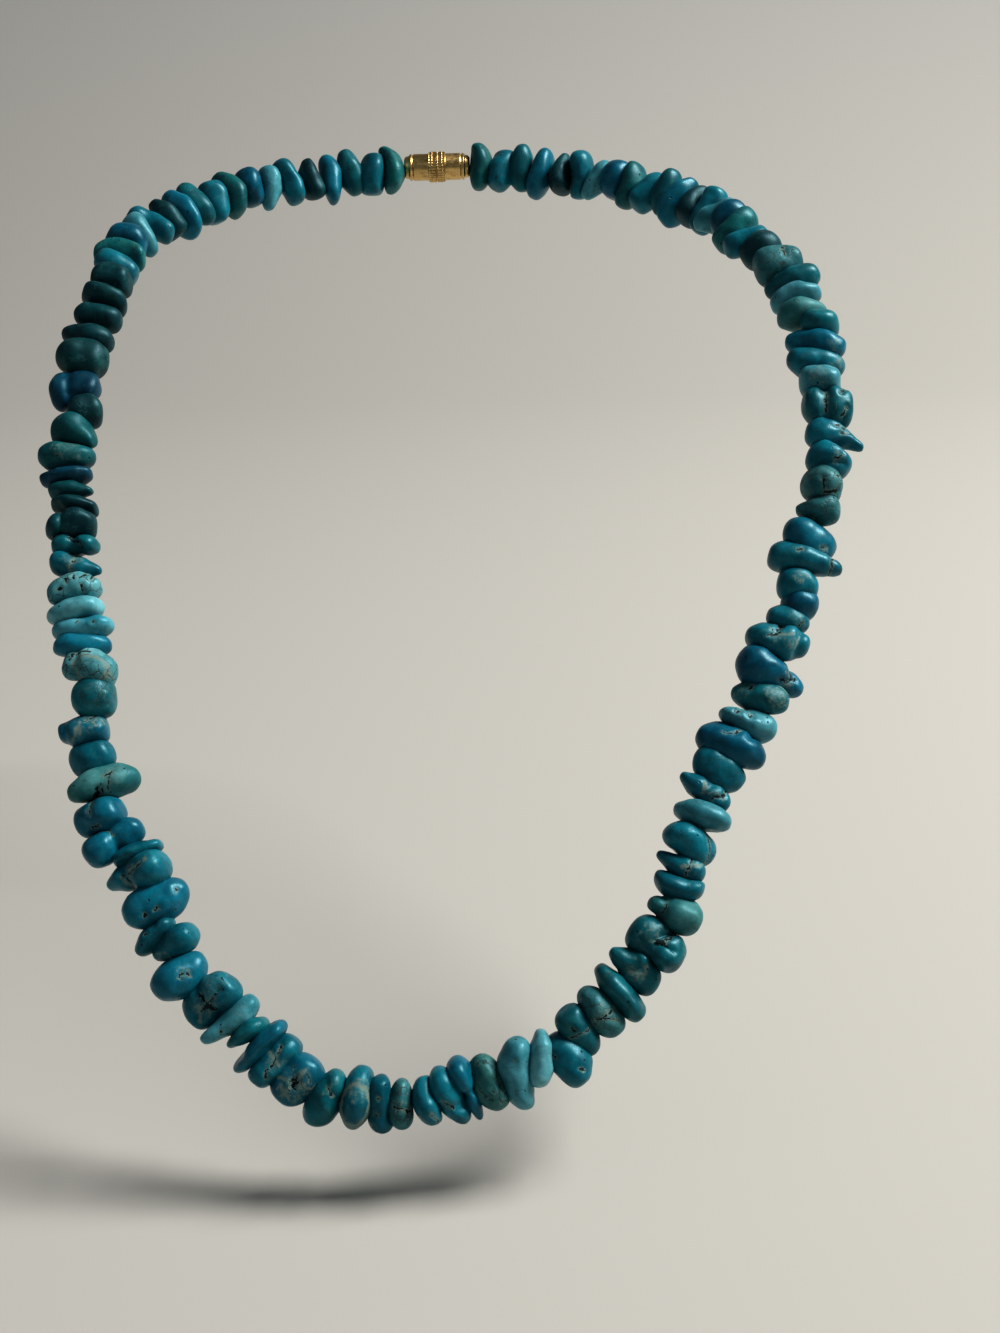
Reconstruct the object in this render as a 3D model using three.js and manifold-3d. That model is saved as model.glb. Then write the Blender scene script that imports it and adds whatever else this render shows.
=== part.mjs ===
import * as THREE from "three";
import { mergeVertices } from "three/addons/utils/BufferGeometryUtils.js";
import Module from "manifold-3d";

// Single strand of drilled and polished turquoise nuggets in its worn form, in millimetres, +Z up.
// The origin is where the back of the string lies on the nape, and the front hangs towards -Y.

// Nuggets: a middling one is beadSpan across the string, beadDeep from front to back and beadThick
// along the string. It takes beadPitch of the string, so neighbours crowd into each other's hollows
const beadSpan = 9;
const beadDeep = 6.6;
const beadPitch = 4.2;
const beadCrowding = 1.12;
const beadThick = beadCrowding * beadPitch;
const beadSides = 10;

// Thread, clasp and the gap that touching solids keep
const threadRadius = 0.6;
const threadSides = 6;
const threadStep = 6;
const claspLength = 13;
const claspRadius = 2.6;
const claspBandRise = 0.4;
const claspBandLength = 3;
const claspChamfer = 0.6;
const claspSides = 16;
const faceGap = 0.3;

// The two halves of the string meet this far right of the loop's half-way point
const meetingShift = 1.3;
const meetingLean = 12;

// Way that the string's broad side faces
const facing = new THREE.Vector3(0, -0.94, 0.34).normalize();

// How far nuggets swing round the thread, in degrees, what share of their depth varies,
// and how fast the two go up and down along the string, in radians for each pitch
const beadSwing = 16;
const beadSwingRate = 2.4;
const beadDeepShare = 0.14;
const beadDeepRate = 1.7;

// Edge of the blocks that keep the solids clear of each other
const clearSpan = 3 * beadSpan;

// Route of the thread, chosen by hand: nape, left shoulder, front, right shoulder, back to the nape
const routePoints = [
  [0, 3, 0], [-20, -1, -1], [-40, -12, -3], [-53, -29, -7],
  [-57.5, -46, -13], [-60, -61, -24], [-60.5, -75, -37], [-59, -88, -52],
  [-56.5, -99, -67], [-54.5, -107, -81], [-49, -116, -93], [-42, -124, -106],
  [-31, -130, -117], [-18, -134, -125], [-4, -135, -126.5],
  [11, -133, -122.5], [23, -129, -116], [32, -124, -107], [38, -116, -94],
  [45, -108, -83], [52, -99, -71], [59, -90, -58], [64, -80, -43],
  [66, -69, -30], [63, -56, -18], [56, -41, -10],
  [49, -24, -6], [36, -9, -3], [19, 0, -1],
];

// Nugget forms, lofted through three sections from the inner to the outer end.
// Columns: place along the half span, width and depth as shares of the half sizes,
// and how far the section is carried along the string as a share of the half thickness
const nuggetForms = {
  oval: [[-0.7, 0.74, 0.76, 0], [0, 1, 1, 0], [0.7, 0.74, 0.74, 0]],
  round: [[-0.64, 0.8, 0.82, 0.02], [0, 1, 1, 0], [0.64, 0.8, 0.82, -0.02]],
  block: [[-0.78, 0.84, 0.8, 0.06], [0, 1, 1, 0], [0.78, 0.84, 0.82, -0.08]],
  drop: [[-0.74, 0.46, 0.54, 0.1], [-0.06, 0.84, 0.9, 0], [0.6, 0.98, 1, 0]],
  taper: [[-0.6, 0.98, 1, 0], [0.08, 0.84, 0.9, 0], [0.76, 0.46, 0.54, -0.1]],
  bend: [[-0.74, 0.7, 0.76, 0.3], [0, 0.94, 1, -0.16], [0.74, 0.72, 0.76, 0.32]],
  waist: [[-0.66, 0.84, 0.88, 0], [-0.04, 0.84, 0.9, -0.08], [0.6, 0.98, 1, 0.04]],
  blade: [[-0.76, 0.7, 0.72, 0.06], [0, 1, 1, 0], [0.76, 0.72, 0.72, -0.06]],
  fang: [[-0.62, 0.92, 0.92, 0], [0.04, 0.9, 0.96, 0.06], [0.74, 0.42, 0.48, -0.2]],
  hook: [[-0.74, 0.42, 0.48, 0.2], [-0.04, 0.9, 0.96, 0.06], [0.62, 0.92, 0.92, 0]],
};

// Nuggets that show, charted by eye from the left of the neck over the front to the right.
// Columns: form, place in pitches from the meeting, how far out of the thread and how long as
// shares of beadSpan, thickness as a share of beadThick, and the lean in degrees
const beadChart = [
  ["block", -41.5, -0.1, 0.75, 1.2, 5], ["blade", -40.3, -0.1, 0.9, 0.8, -10],
  ["oval", -39.3, -0.1, 0.9, 0.95, 0], ["oval", -38.15, 0, 1, 1, -12],
  ["oval", -37, 0, 0.95, 1.4, 6], ["waist", -35.5, 0.05, 0.95, 1.4, 8],
  ["round", -34.4, -0.18, 0.65, 1.05, 5], ["hook", -33.5, -0.06, 0.9, 1.35, -20],
  ["oval", -32.3, 0.1, 1, 0.95, 0], ["blade", -31.4, 0.1, 0.95, 0.65, 5],
  ["hook", -30.8, 0, 0.85, 0.85, -4], ["blade", -30.1, -0.05, 0.85, 0.65, -10],
  ["waist", -29.25, 0.02, 0.9, 1, -3], ["waist", -28.4, -0.05, 0.85, 0.85, -12],
  ["hook", -27.6, -0.03, 0.95, 0.95, -15], ["oval", -26.6, 0.05, 0.95, 1, 5],
  ["oval", -25.7, 0.08, 1, 0.95, 3], ["oval", -25, -0.03, 1.05, 0.85, -2],
  ["oval", -24.3, 0.02, 1, 0.9, -4], ["waist", -23.4, -0.1, 1, 1.35, -30],
  ["round", -22.2, -0.1, 0.78, 1.35, -5], ["block", -21, 0.14, 0.85, 1.05, 4],
  ["round", -19.95, 0.07, 0.78, 1.2, 10], ["oval", -18.85, -0.03, 1.25, 1.1, 0],
  ["block", -17.7, 0.2, 0.85, 1.15, 0], ["waist", -16.6, 0.14, 1.15, 1.1, 10],
  ["blade", -15.85, -0.18, 0.9, 0.65, 0], ["taper", -15.1, -0.05, 1.2, 1.25, 0],
  ["oval", -13.8, -0.15, 1.15, 1.4, 2], ["blade", -12.75, 0.1, 0.85, 0.75, 20],
  ["taper", -12.1, -0.15, 0.88, 1.05, 5], ["oval", -11, 0.1, 1, 1.3, -2],
  ["block", -9.6, -0.05, 1.05, 1.4, 2], ["taper", -8.5, -0.03, 1.17, 0.9, -7],
  ["blade", -7.8, -0.07, 0.8, 0.65, -14], ["blade", -7.1, -0.04, 1.2, 0.7, -6],
  ["block", -6.35, 0, 1, 0.95, -5], ["round", -5.3, 0.05, 0.92, 1.35, -18],
  ["oval", -4.1, 0.1, 1, 1.1, -8], ["oval", -3, -0.06, 1.05, 0.95, 0],
  ["waist", -2.1, 0, 1, 0.85, 4], ["oval", -1.35, 0, 0.82, 0.85, -2],
  ["bend", -0.5, 0, 0.85, 0.85, 10], ["oval", 0.45, 0, 1.05, 0.95, 15],
  ["fang", 1.15, -0.05, 1.15, 0.75, 8], ["oval", 1.95, 0, 0.95, 1.05, 6],
  ["bend", 2.95, 0.03, 1.25, 1.1, -16], ["drop", 4, 0, 0.95, 0.85, -30],
  ["round", 4.85, 0.28, 0.95, 1.25, 5], ["block", 5.75, 0, 0.9, 1.05, 0],
  ["oval", 6.8, 0, 0.97, 1.05, -2], ["blade", 7.8, 0, 1.15, 0.85, -6],
  ["hook", 8.75, -0.05, 1.05, 1.2, 4], ["block", 10.05, 0.08, 1, 1.3, -9],
  ["drop", 11.3, 0.16, 0.96, 1.3, 0], ["bend", 12.2, 0.1, 0.9, 0.85, -4],
  ["hook", 13, 0.04, 0.9, 0.85, -4], ["oval", 14, 0.05, 0.95, 1.15, -5],
  ["oval", 15.1, 0.06, 1, 0.9, 9], ["hook", 15.95, -0.1, 1, 1, -2],
  ["oval", 17, -0.03, 0.96, 1.25, -10], ["oval", 18.05, 0, 1.25, 1.25, -2],
  ["drop", 19.15, 0.1, 1.05, 1, 7], ["oval", 20.3, 0.15, 1, 1, 9],
  ["taper", 21.4, 0.13, 1.25, 1.35, 4], ["oval", 22.6, 0.05, 1.1, 1.25, 10],
  ["oval", 23.6, 0.08, 0.75, 0.9, 7], ["round", 24.35, 0.18, 0.6, 1.15, 10],
  ["round", 25.05, 0.02, 0.72, 1.15, 10], ["taper", 26.05, 0.02, 1.35, 1.1, 7],
  ["oval", 26.95, 0.02, 0.98, 1.3, -12], ["drop", 28.2, 0.05, 0.8, 1.05, 15],
  ["round", 29.25, 0.04, 0.68, 1.3, 5], ["oval", 30.3, 0.1, 0.8, 1.25, -15],
  ["fang", 31.4, 0.15, 1.1, 1.05, -5], ["block", 32.7, 0, 0.9, 1.5, 0],
  ["round", 33.85, -0.1, 0.75, 1.15, -5], ["oval", 34.75, -0.12, 1.05, 1.05, -15],
  ["oval", 35.65, -0.05, 1.1, 1.1, -26], ["round", 36.5, 0.14, 0.72, 1.05, -15],
  ["oval", 37.25, -0.08, 0.9, 1.05, -6], ["oval", 38.15, -0.05, 0.95, 1, -10],
  ["oval", 39, 0.05, 1.05, 1.05, -13], ["block", 40.2, 0.07, 0.9, 1.3, -15],
  ["round", 41.5, 0.03, 0.78, 1.2, -12],
];

// Plain run of nuggets for the stretch behind the neck, used over and over up to the clasp.
// Columns: form, out, span, thickness and lean, as above
const hiddenRun = [
  ["oval", 0.04, 0.98, 1, 6], ["block", -0.05, 0.88, 1.05, -8], ["bend", 0, 1.02, 0.95, 4],
  ["round", 0.06, 0.8, 1.1, 0], ["drop", -0.04, 0.95, 1, -12], ["waist", 0.03, 1.05, 1, 8],
  ["taper", 0, 0.9, 1.05, 10], ["oval", -0.06, 1.08, 0.9, -5],
];

// Closed route with its length, so that a place on it is a distance from the nape
const route = new THREE.CatmullRomCurve3(
  routePoints.map((point) => new THREE.Vector3(...point)), true, "catmullrom", 0.5);
route.arcLengthDivisions = 1200;
const loopLength = route.getLength();
const meetingPlace = loopLength / 2 + meetingShift;

// The string's own frame: along the thread, out of the loop and from the broad side to the back
function stringFrame(place) {
  const share = THREE.MathUtils.euclideanModulo(place / loopLength, 1);
  const along = route.getTangentAt(share);
  const front = facing.clone().addScaledVector(along, -facing.dot(along)).normalize();
  const out = new THREE.Vector3().crossVectors(along, front);
  const frame = new THREE.Matrix4().makeBasis(along, out, front.negate());
  return frame.setPosition(route.getPointAt(share));
}

class Stretch extends THREE.Curve {
  constructor(from, to) {
    super();
    this.from = from;
    this.to = to;
  }

  getPoint(share) {
    const place = THREE.MathUtils.lerp(this.from, this.to, share);
    return route.getPointAt(THREE.MathUtils.euclideanModulo(place / loopLength, 1));
  }
}

const wasm = await Module();
wasm.setup();

function solidOf(geometry) {
  const bare = geometry.clone();
  bare.deleteAttribute("normal");
  bare.deleteAttribute("uv");
  const merged = mergeVertices(bare, 1e-5);
  return new wasm.Manifold(new wasm.Mesh({
    numProp: 3,
    vertProperties: new Float32Array(merged.attributes.position.array),
    triVerts: new Uint32Array(merged.index.array),
  }));
}

function geometryOf(solid) {
  const mesh = solid.getMesh();
  const geometry = new THREE.BufferGeometry();
  geometry.setAttribute("position", new THREE.BufferAttribute(new Float32Array(mesh.vertProperties), 3));
  geometry.setIndex(new THREE.BufferAttribute(new Uint32Array(mesh.triVerts), 1));
  geometry.computeVertexNormals();
  return geometry;
}

// One nugget in its own frame: X along the string, Y across it, Z from front to back
function nuggetGeometry(form, span, thick, deep) {
  const sections = nuggetForms[form];
  const corners = [[sections[0][3] * thick / 2, -span / 2, 0]];
  for (const [place, width, depth, carry] of sections) {
    for (let side = 0; side < beadSides; side += 1) {
      const angle = (2 * Math.PI * side) / beadSides;
      corners.push([
        (carry + width * Math.cos(angle)) * thick / 2,
        place * span / 2,
        depth * Math.sin(angle) * deep / 2,
      ]);
    }
  }
  corners.push([sections.at(-1)[3] * thick / 2, span / 2, 0]);

  const faces = [];
  const lastRing = 1 + (sections.length - 1) * beadSides;
  for (let side = 0; side < beadSides; side += 1) {
    const next = (side + 1) % beadSides;
    faces.push(0, 1 + side, 1 + next);
    faces.push(lastRing + next, lastRing + side, corners.length - 1);
    for (let ring = 1; ring < lastRing; ring += beadSides) {
      faces.push(ring + side, ring + beadSides + side, ring + next);
      faces.push(ring + next, ring + beadSides + side, ring + beadSides + next);
    }
  }
  const geometry = new THREE.BufferGeometry();
  geometry.setAttribute("position", new THREE.Float32BufferAttribute(corners.flat(), 3));
  geometry.setIndex(faces);
  return geometry;
}

// Nuggets swing round the thread and differ in depth by their place on it
function seatNugget([form, place, out, span, thick, lean]) {
  const swing = beadSwing * Math.sin(beadSwingRate * place);
  const deep = beadDeep * (1 + beadDeepShare * Math.cos(beadDeepRate * place));
  const geometry = nuggetGeometry(form, span * beadSpan, thick * beadThick, deep);
  geometry.rotateZ(THREE.MathUtils.degToRad(-lean));
  geometry.rotateX(THREE.MathUtils.degToRad(swing));
  geometry.translate(0, out * beadSpan, 0);
  return geometry.applyMatrix4(stringFrame(meetingPlace + place * beadPitch));
}

// Rows for the hidden nuggets on one side, spread evenly from the last charted one to the clasp
function hiddenNuggets(side) {
  const charted = beadChart.map((row) => row[1]).filter((place) => place * side > 0);
  const last = Math.max(...charted.map(Math.abs));
  const claspEnd = claspLength / 2 + faceGap + beadPitch / 2;
  const nape = side > 0 ? loopLength - meetingPlace : meetingPlace;
  const end = (nape - claspEnd) / beadPitch;
  const count = Math.max(1, Math.round(end - last));
  const rows = [];
  for (let index = 1; index <= count; index += 1) {
    const [form, out, span, thick, lean] = hiddenRun[index % hiddenRun.length];
    const place = last + (end - last) * index / count;
    rows.push([form, place * side, out, span, thick, lean]);
  }
  return rows;
}

function threadSolid(from, to) {
  const outline = new THREE.Shape();
  outline.absarc(0, 0, threadRadius, 0, 2 * Math.PI);
  const steps = Math.ceil(Math.abs(to - from) / threadStep);
  return solidOf(new THREE.ExtrudeGeometry(outline, {
    steps, curveSegments: threadSides / 2, bevelEnabled: false, extrudePath: new Stretch(from, to),
  }));
}

// Block that keeps one half clear of the other: its near face leans with the two middle nuggets
function beyondMeeting(side) {
  const block = new THREE.BoxGeometry(clearSpan, clearSpan, clearSpan);
  block.translate(side * (clearSpan - faceGap) / 2, 0, 0);
  block.rotateZ(THREE.MathUtils.degToRad(-meetingLean));
  return solidOf(block.applyMatrix4(stringFrame(meetingPlace)));
}

// Block round the clasp that no nugget reaches into
function claspRoom() {
  const room = new THREE.BoxGeometry(claspLength + 2 * faceGap, clearSpan, clearSpan);
  return solidOf(room.translate(...routePoints[0]));
}

// Half of the string: side -1 runs down the left, side +1 down the right
function stringHalf(side) {
  const charted = beadChart.filter((row) => row[1] * side > 0);
  const nuggets = [...charted, ...hiddenNuggets(side)].map((row) => solidOf(seatNugget(row)));
  const claspSide = side < 0 ? claspLength / 2 + faceGap : loopLength - claspLength / 2 - faceGap;
  return wasm.Manifold.union(nuggets)
    .subtract(claspRoom())
    .add(threadSolid(claspSide, meetingPlace + side * faceGap / 2))
    .subtract(beyondMeeting(-side));
}

// Plain barrel clasp along X, with a raised band round its middle
function claspGeometry() {
  const end = claspLength / 2;
  const band = claspBandLength / 2;
  const bandRadius = claspRadius + claspBandRise;
  const profile = [
    [0, -end], [claspRadius - claspChamfer, -end], [claspRadius, claspChamfer - end],
    [claspRadius, -band - claspBandRise], [bandRadius, -band], [bandRadius, band],
    [claspRadius, band + claspBandRise], [claspRadius, end - claspChamfer],
    [claspRadius - claspChamfer, end], [0, end],
  ].map(([radius, height]) => new THREE.Vector2(radius, height));
  const geometry = new THREE.LatheGeometry(profile, claspSides);
  return geometry.rotateZ(-Math.PI / 2).translate(...routePoints[0]);
}

const turquoise = new THREE.MeshStandardMaterial({ color: 0x177d96, roughness: 0.3, metalness: 0 });
const brass = new THREE.MeshStandardMaterial({ color: 0xb08d57, roughness: 0.35, metalness: 1 });

const necklace = new THREE.Group();

function addPiece(name, geometry, material) {
  const mesh = new THREE.Mesh(geometry, material);
  mesh.name = name;
  necklace.add(mesh);
}

addPiece("bead_string_left", geometryOf(stringHalf(-1)), turquoise);
addPiece("bead_string_right", geometryOf(stringHalf(1)), turquoise);
addPiece("clasp", geometryOf(solidOf(claspGeometry())), brass);

export default necklace;
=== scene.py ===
import math

import bpy
import numpy as np
from mathutils import Matrix, Vector


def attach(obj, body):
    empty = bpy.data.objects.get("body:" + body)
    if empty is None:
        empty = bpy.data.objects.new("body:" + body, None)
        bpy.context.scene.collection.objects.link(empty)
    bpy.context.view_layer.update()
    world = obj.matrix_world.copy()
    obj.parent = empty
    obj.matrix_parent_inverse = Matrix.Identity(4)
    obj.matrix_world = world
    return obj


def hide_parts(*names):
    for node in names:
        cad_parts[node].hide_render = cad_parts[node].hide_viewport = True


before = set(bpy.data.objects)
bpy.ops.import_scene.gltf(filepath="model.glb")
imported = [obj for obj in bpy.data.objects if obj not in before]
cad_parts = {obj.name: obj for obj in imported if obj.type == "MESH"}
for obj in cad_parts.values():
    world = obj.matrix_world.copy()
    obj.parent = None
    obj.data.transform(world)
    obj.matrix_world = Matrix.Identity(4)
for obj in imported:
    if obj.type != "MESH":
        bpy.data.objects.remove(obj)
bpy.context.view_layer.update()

mm = 0.001
nearly = 0.01 * mm  # closer than this is in place
print("frame loaded:", sorted(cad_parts))


# Camera, stage and light

cameraSet = {
    "place": (9.9 * mm, -386.1 * mm, 35.6 * mm),
    "tilt": 70.0,  # degrees up from straight down
    "roll": -1.5,
    "lens": 68.4,
    "sensorWidth": 36.0,
    "nearClip": 0.01,
}

stageSet = {
    "floorHeight": -0.142,
    "floorSize": 4.0,
    "wallPlace": 1.0,
    "wallHeight": 2.2,
    "cornerRadius": 0.55,
    "cornerSteps": 16,
    "floorColor": (0.385, 0.374, 0.345, 1),
    "wallColor": (0.255, 0.268, 0.276, 1),
    "colorRise": 0.5,  # height over which the floor's colour turns into the wall's
    "rough": 0.9,
}

lightSet = {
    "sky": {"color": (0.82, 0.93, 1.0, 1), "strength": 0.13},
    "window": {"place": (0.86, -0.02, 0.86), "aim": (0.0, -0.07, -0.06), "size": (0.48, 0.60),
               "power": 29.0, "color": (1.0, 0.98, 0.95)},
    "fill": {"place": (-0.7, -0.6, 0.45), "aim": (0.0, -0.07, -0.06), "size": (0.8, 0.6),
             "power": 0.6, "color": (0.85, 0.95, 1.0)},
}


def deselectAll():
    if bpy.context.object and bpy.context.object.mode != "OBJECT":
        bpy.ops.object.mode_set(mode="OBJECT")
    bpy.ops.object.select_all(action="DESELECT")


def makeCamera():
    bpy.ops.object.camera_add()
    camera = bpy.context.object
    camera.name = "photoCamera"
    camera.data.sensor_fit = "HORIZONTAL"
    camera.data.sensor_width = cameraSet["sensorWidth"]
    camera.data.lens = cameraSet["lens"]
    camera.data.clip_start = cameraSet["nearClip"]
    tilt = Matrix.Rotation(math.radians(cameraSet["tilt"]), 4, "X")
    roll = Matrix.Rotation(math.radians(cameraSet["roll"]), 4, "Z")
    camera.matrix_world = Matrix.Translation(cameraSet["place"]) @ tilt @ roll
    bpy.context.scene.camera = camera


def selectEdges(piece, rule):
    # selects the edges with both ends where the rule says
    bpy.ops.object.mode_set(mode="EDIT")
    bpy.ops.mesh.select_mode(type="EDGE")
    bpy.ops.mesh.select_all(action="DESELECT")
    bpy.ops.object.mode_set(mode="OBJECT")
    for e in piece.data.edges:
        e.select = all(rule(piece.data.vertices[i].co) for i in e.vertices)
    bpy.ops.object.mode_set(mode="EDIT")


def makeStage():
    s = stageSet
    deselectAll()
    bpy.ops.mesh.primitive_plane_add(size=s["floorSize"], location=(0, 0, s["floorHeight"]))
    stage = bpy.context.object
    stage.name = "paleFloor"
    bpy.ops.object.transform_apply(location=True)
    for v in stage.data.vertices:
        if v.co.y > 0:
            v.co.y = s["wallPlace"]
    selectEdges(stage, lambda c: c.y > 0)
    bpy.ops.mesh.extrude_region_move(TRANSFORM_OT_translate={"value": (0, 0, s["wallHeight"])})
    selectEdges(stage, lambda c: abs(c.y - s["wallPlace"]) < nearly and c.z < 0)
    bpy.ops.mesh.bevel(offset=s["cornerRadius"], segments=s["cornerSteps"], affect="EDGES")
    bpy.ops.object.mode_set(mode="OBJECT")
    bpy.ops.object.shade_smooth()
    stage.data.materials.append(stageMaterial())


def newMaterial(name):
    material = bpy.data.materials.new(name)
    material.use_nodes = True
    return material


def stageMaterial():
    s = stageSet
    material = newMaterial("palePaper")
    n = Nodes(material)
    height = n.split(n.objectCoords())[2]
    rise = n.ramp(height, s["floorHeight"], s["floorHeight"] + s["colorRise"])
    n.set("Base Color", n.mixColor(rise, s["floorColor"], s["wallColor"]))
    n.set("Roughness", s["rough"])
    return material


def makeLights():
    world = bpy.data.worlds.new("studioSky")
    bpy.context.scene.world = world
    world.use_nodes = True
    sky = world.node_tree.nodes["Background"]
    sky.inputs["Color"].default_value = lightSet["sky"]["color"]
    sky.inputs["Strength"].default_value = lightSet["sky"]["strength"]
    for name in ("window", "fill"):
        s = lightSet[name]
        bpy.ops.object.light_add(type="AREA", location=s["place"])
        light = bpy.context.object
        light.name = name + "Light"
        light.data.shape = "RECTANGLE"
        light.data.size, light.data.size_y = s["size"]
        light.data.energy = s["power"]
        light.data.color = s["color"]
        way = Vector(s["aim"]) - Vector(s["place"])
        light.rotation_euler = way.to_track_quat("-Z", "Y").to_euler()
    bpy.context.scene.view_settings.view_transform = "Standard"
    bpy.context.scene.view_settings.look = "Medium High Contrast"


class Nodes:
    # short calls that add one shader node each and link it

    def __init__(self, material):
        self.tree = material.node_tree
        self.shader = self.tree.nodes["Principled BSDF"]

    def add(self, kind, links=(), **settings):
        node = self.tree.nodes.new(kind)
        for key, value in settings.items():
            setattr(node, key, value)
        for key, value in dict(links).items():
            self.feed(node.inputs[key], value)
        return node

    def feed(self, socket, value):
        if isinstance(value, bpy.types.NodeSocket):
            self.tree.links.new(value, socket)
        else:
            socket.default_value = value

    def set(self, name, value):
        self.feed(self.shader.inputs[name], value)

    def objectCoords(self):
        return self.add("ShaderNodeTexCoord").outputs["Object"]

    def objectCoordsInMm(self):
        return self.scaled(self.objectCoords(), 1 / mm)

    def math(self, how, *values):
        return self.add("ShaderNodeMath", dict(enumerate(values)), operation=how).outputs[0]

    def times(self, a, b):
        return self.math("MULTIPLY", a, b)

    def plus(self, a, b):
        return self.math("ADD", a, b)

    def minus(self, a, b):
        return self.math("SUBTRACT", a, b)

    def larger(self, a, b):
        return self.math("MAXIMUM", a, b)

    def vector(self, how, a, b):
        return self.add("ShaderNodeVectorMath", {0: a, 1: b}, operation=how).outputs[0]

    def scaled(self, a, factor):
        node = self.add("ShaderNodeVectorMath", {0: a}, operation="SCALE")
        self.feed(node.inputs["Scale"], factor)
        return node.outputs[0]

    def split(self, a):
        return self.add("ShaderNodeSeparateXYZ", {0: a}).outputs

    def attribute(self, name):
        return self.add("ShaderNodeAttribute", attribute_name=name)

    def ramp(self, a, low, high, first=0.0, last=1.0):
        links = {"Value": a, "From Min": low, "From Max": high, "To Min": first, "To Max": last}
        return self.add("ShaderNodeMapRange", links, interpolation_type="SMOOTHSTEP").outputs[0]

    def noise(self, where, size, detail, rough=0.55, output="Fac"):
        links = {"Vector": where, "Scale": size, "Detail": detail, "Roughness": rough}
        return self.add("ShaderNodeTexNoise", links).outputs[output]

    def cells(self, where, size, feature="F1"):
        links = {"Vector": where, "Scale": size}
        return self.add("ShaderNodeTexVoronoi", links, feature=feature).outputs["Distance"]

    def mixColor(self, share, a, b, how="MIX"):
        node = self.add("ShaderNodeMix", data_type="RGBA", blend_type=how)
        self.feed(node.inputs[0], share)
        self.feed(node.inputs[6], a)
        self.feed(node.inputs[7], b)
        return node.outputs[2]

    def bump(self, height, strength, depth):
        node = self.add("ShaderNodeBump", {"Height": height, "Strength": strength, "Distance": depth})
        self.set("Normal", node.outputs["Normal"])


makeCamera()
makeStage()
makeLights()
print("camera, stage and light made")


# Route of the thread and the string's own frame, as in the solids

routePoints = [  # mm: from the clasp down the left side to the front, and up the right side
    (0, 3, 0), (-20, -1, -1), (-40, -12, -3), (-53, -29, -7),
    (-57.5, -46, -13), (-60, -61, -24), (-60.5, -75, -37), (-59, -88, -52),
    (-56.5, -99, -67), (-54.5, -107, -81), (-49, -116, -93), (-42, -124, -106),
    (-31, -130, -117), (-18, -134, -125), (-4, -135, -126.5),
    (11, -133, -122.5), (23, -129, -116), (32, -124, -107), (38, -116, -94),
    (45, -108, -83), (52, -99, -71), (59, -90, -58), (64, -80, -43),
    (66, -69, -30), (63, -56, -18), (56, -41, -10),
    (49, -24, -6), (36, -9, -3), (19, 0, -1),
]

stringSet = {
    "beadSpan": 9.0 * mm,
    "beadDeep": 6.6 * mm,
    "beadPitch": 4.2 * mm,
    "beadCrowding": 1.12,  # thickness of a nugget over the pitch
    "facing": (0.0, -0.94, 0.34),
    "meetingShift": 1.3 * mm,
    "swing": 16.0,  # degrees
    "swingRate": 2.4,
    "deepShare": 0.14,
    "deepRate": 1.7,
    "claspLength": 13.0 * mm,
    "gap": 0.3 * mm,
    "routeSteps": 1200,
    "tangentStep": 0.05 * mm,
}


def routeAt(share):
    count = len(routePoints)
    place = (share % 1.0) * count
    index = int(place)
    w = place - index
    p0, p1, p2, p3 = (Vector(routePoints[(index + k) % count]) * mm for k in (-1, 0, 1, 2))
    bend = (2 * p0 - 5 * p1 + 4 * p2 - p3) * w * w + (3 * p1 - p0 - 3 * p2 + p3) * w ** 3
    return 0.5 * (2 * p1 + (p2 - p0) * w + bend)


routeShares = np.linspace(0, 1, stringSet["routeSteps"] + 1)
routeSpots = [routeAt(share) for share in routeShares]
routeLengths = np.cumsum([0.0] + [(b - a).length for a, b in zip(routeSpots, routeSpots[1:])])
loopLength = float(routeLengths[-1])
meetingPlace = loopLength / 2 + stringSet["meetingShift"]


def spotAt(place):
    # point of the thread at a distance from the clasp's middle
    return routeAt(float(np.interp(place % loopLength, routeLengths, routeShares)))


def stringFrame(place):
    step = stringSet["tangentStep"]
    along = (spotAt(place + step) - spotAt(place - step)).normalized()
    facing = Vector(stringSet["facing"]).normalized()
    front = (facing - along * facing.dot(along)).normalized()
    out = along.cross(front)
    turn = Matrix((along, out, -front)).transposed().to_4x4()
    return Matrix.Translation(spotAt(place)) @ turn


print("string is", round(loopLength / mm, 1), "mm long")
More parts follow.
